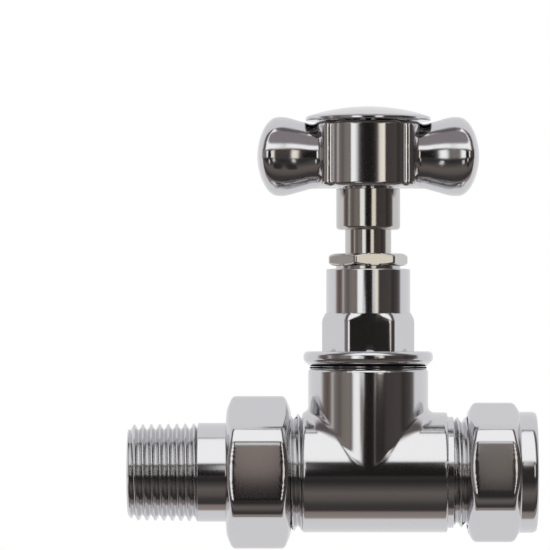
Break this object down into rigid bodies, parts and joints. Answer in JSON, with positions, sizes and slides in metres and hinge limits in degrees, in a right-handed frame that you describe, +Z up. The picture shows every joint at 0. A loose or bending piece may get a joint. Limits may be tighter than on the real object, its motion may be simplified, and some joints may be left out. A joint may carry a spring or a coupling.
{
  "type": "straight radiator valve",
  "caption": "Chrome-plated straight radiator valve: taper-thread union tail, compression end for pipe, rising spindle under a lobed handle.",
  "frame": {"origin": "where the pipe line meets the spindle axis, inside the body", "axes": "+X along the pipe line towards the compression end, +Z up the spindle axis towards the handle, +Y away from the viewer"},
  "size_m": [0.0873, 0.03, 0.0945],
  "materials": {
    "chrome_plate": "bright polished plate",
    "turned_nickel": "duller plate with fine turning lines",
    "brass": "turned",
    "steel": "satin",
    "rubber": "matte black",
    "packing": "matte off-white"
  },
  "bodies": {
    "valve_body": {"valve_body": "chrome_plate", "bonnet": "chrome_plate", "bonnet_washer": "rubber", "gland_packing": "packing", "gland_follower": "brass", "gland_nut": "turned_nickel"},
    "valve_disc": {"valve_disc": "brass", "seat_washer": "rubber", "seat_washer_screw": "steel", "disc_retaining_clip": "steel"},
    "spindle": {"spindle": "turned_nickel", "handle_bush": "turned_nickel", "handle": "chrome_plate", "handle_screw_washer": "steel", "handle_screw": "steel", "handle_cap": "chrome_plate", "cap_o_ring": "rubber"},
    "tail": {"tail_pipe": "chrome_plate", "tail_o_ring": "rubber"},
    "union_nut": {"union_nut": "chrome_plate"},
    "olive": {"compression_olive": "brass"},
    "compression_nut": {"compression_nut": "chrome_plate"}
  },
  "joints": [
    {"name": "valve_lift", "type": "slide", "parent": "valve_body", "child": "valve_disc", "axis": [0, 0, 1], "range_m": [-0.00375, 0]},
    {"name": "handle_turn", "type": "hinge", "parent": "valve_disc", "child": "spindle", "pos_m": [0, 0, 0.0675], "axis": [0, 0, 1], "range_deg": [-900, 0]},
    {"name": "tail_slide", "type": "slide", "parent": "valve_body", "child": "tail", "axis": [-1, 0, 0], "range_m": [0, 0.00726]},
    {"name": "union_nut_turn", "type": "hinge", "parent": "tail", "child": "union_nut", "pos_m": [-0.0235, 0, 0], "axis": [-1, 0, 0], "range_deg": [0, 1440]},
    {"name": "olive_slide", "type": "slide", "parent": "valve_body", "child": "olive", "axis": [1, 0, 0], "range_m": [0, 0.00545]},
    {"name": "compression_nut_turn", "type": "hinge", "parent": "olive", "child": "compression_nut", "pos_m": [0.0286, 0, 0], "axis": [1, 0, 0], "range_deg": [0, 1080]}
  ],
  "couplings": [
    {"joint": "handle_turn", "follows": "valve_lift", "rad_per_m": 4188.8},
    {"joint": "tail_slide", "follows": "union_nut_turn", "m_per_rad": 0.0002887},
    {"joint": "olive_slide", "follows": "compression_nut_turn", "m_per_rad": 0.0002887}
  ]
}
